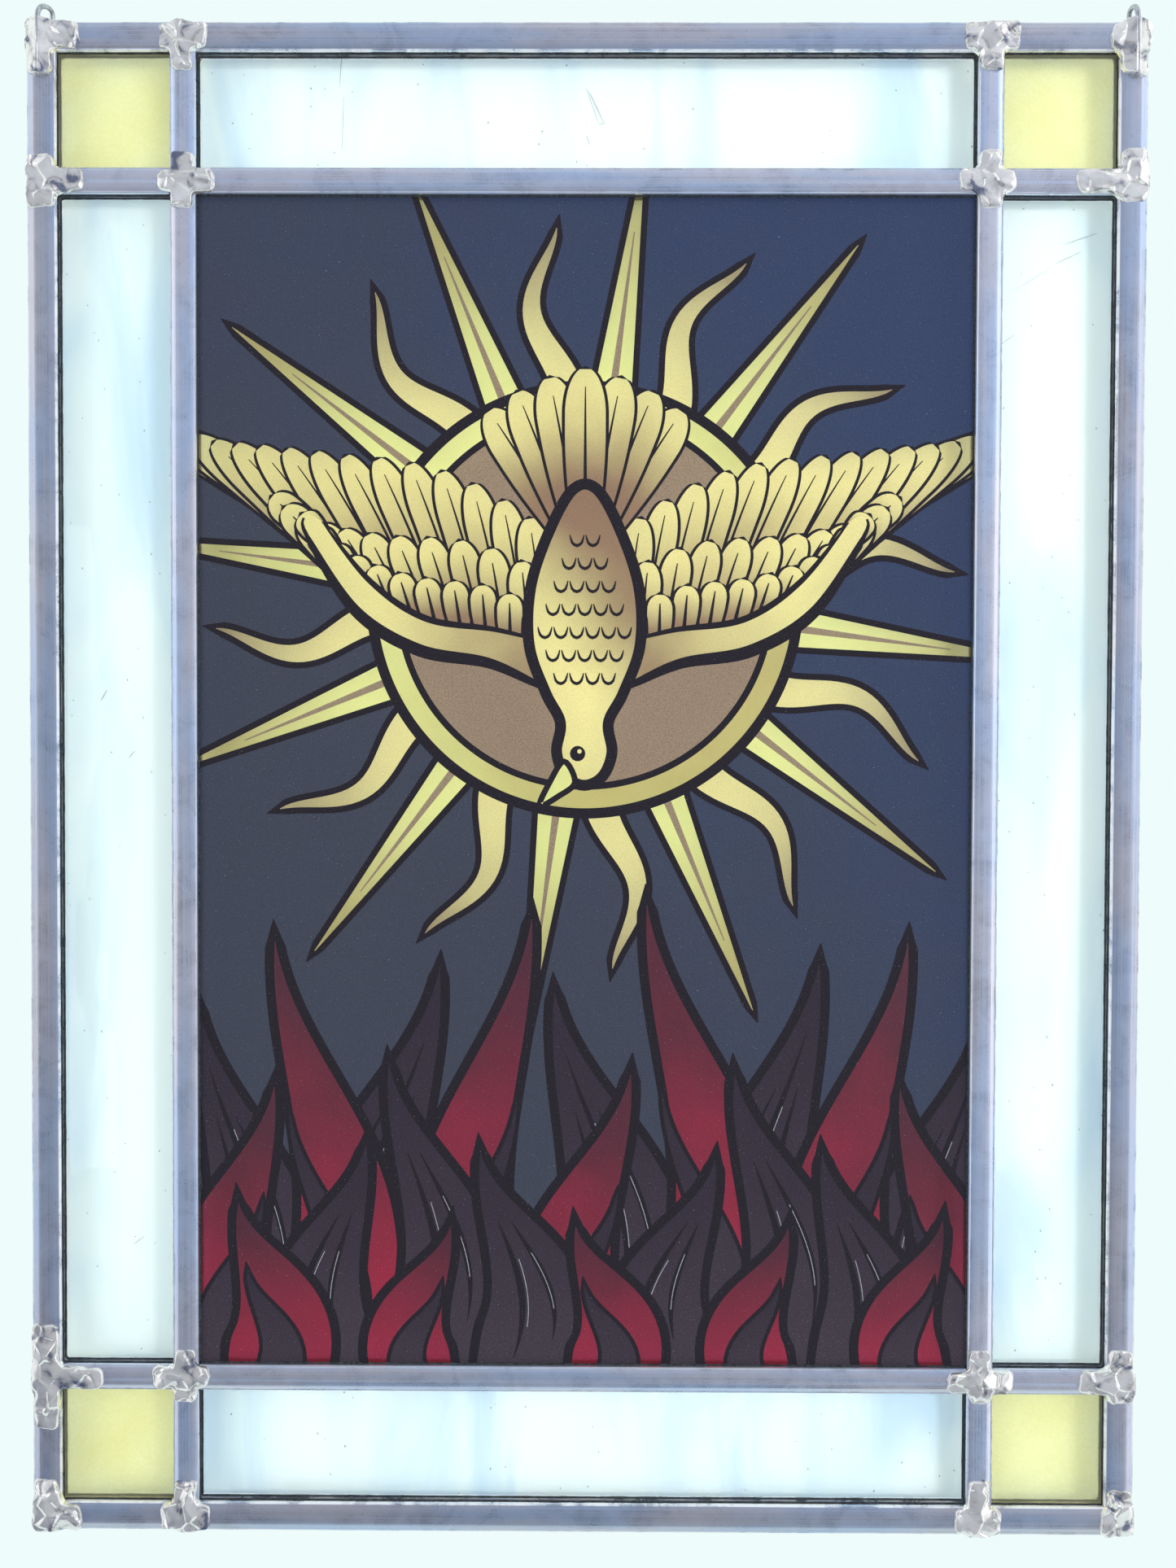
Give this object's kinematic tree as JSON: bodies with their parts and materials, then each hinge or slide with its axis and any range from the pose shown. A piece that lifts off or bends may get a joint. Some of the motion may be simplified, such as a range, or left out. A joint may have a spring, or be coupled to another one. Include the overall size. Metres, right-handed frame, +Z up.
{
  "type": "leaded stained glass panel",
  "caption": "Upright leaded glass panel with a painted centre pane, clear border strips, pale yellow corner squares and wire loops to hang it by.",
  "frame": {"origin": "on the line through the inner crowns of the two hanging loops, at the middle of the panel's width and thickness", "axes": "+Z up, +X to the panel's right as seen from the front, and the front faces -Y"},
  "size_m": [0.3, 0.0108, 0.4133],
  "materials": {
    "lead": "drawn lead, dull blue-grey with fine lengthways streaks",
    "solder": "bright, uneven tin-lead solder",
    "tinned_wire": "tinned copper wire, satin grey",
    "clear_glass": "clear mouth-blown sheet with seeds and wisps",
    "yellow_glass": "pale yellow sheet with a fine grain, satin",
    "picture_glass": "flashed glass, stained and painted with matt black and brown",
    "cement": "dark glazing cement in an uneven line along the lead"
  },
  "bodies": {
    "root": {"back_solder_bottom_left": "solder", "back_solder_bottom_midleft": "solder", "back_solder_bottom_midright": "solder", "back_solder_bottom_right": "solder", "back_solder_lower_left": "solder", "back_solder_lower_midleft": "solder", "back_solder_lower_midright": "solder", "back_solder_lower_right": "solder", "back_solder_top_left": "solder", "back_solder_top_midleft": "solder", "back_solder_top_midright": "solder", "back_solder_top_right": "solder", "back_solder_upper_left": "solder", "back_solder_upper_midleft": "solder", "back_solder_upper_midright": "solder", "back_solder_upper_right": "solder", "border_came_bottom": "lead", "border_came_left": "lead", "border_came_right": "lead", "border_came_top": "lead", "border_glass_bottom": "clear_glass", "border_glass_left": "clear_glass", "border_glass_right": "clear_glass", "border_glass_top": "clear_glass", "corner_glass_bottom_left": "yellow_glass", "corner_glass_bottom_right": "yellow_glass", "corner_glass_top_left": "yellow_glass", "corner_glass_top_right": "yellow_glass", "front_solder_bottom_left": "solder", "front_solder_bottom_midleft": "solder", "front_solder_bottom_midright": "solder", "front_solder_bottom_right": "solder", "front_solder_lower_left": "solder", "front_solder_lower_midleft": "solder", "front_solder_lower_midright": "solder", "front_solder_lower_right": "solder", "front_solder_top_left": "solder", "front_solder_top_midleft": "solder", "front_solder_top_midright": "solder", "front_solder_top_right": "solder", "front_solder_upper_left": "solder", "front_solder_upper_midleft": "solder", "front_solder_upper_midright": "solder", "front_solder_upper_right": "solder", "hanging_loop_left": "tinned_wire", "hanging_loop_right": "tinned_wire", "inner_came_bottom": "lead", "inner_came_left": "lead", "inner_came_right": "lead", "inner_came_top": "lead", "picture_glass": "picture_glass", "short_came_bottom_left": "lead", "short_came_bottom_right": "lead", "short_came_top_left": "lead", "short_came_top_right": "lead"}
  },
  "joints": []
}
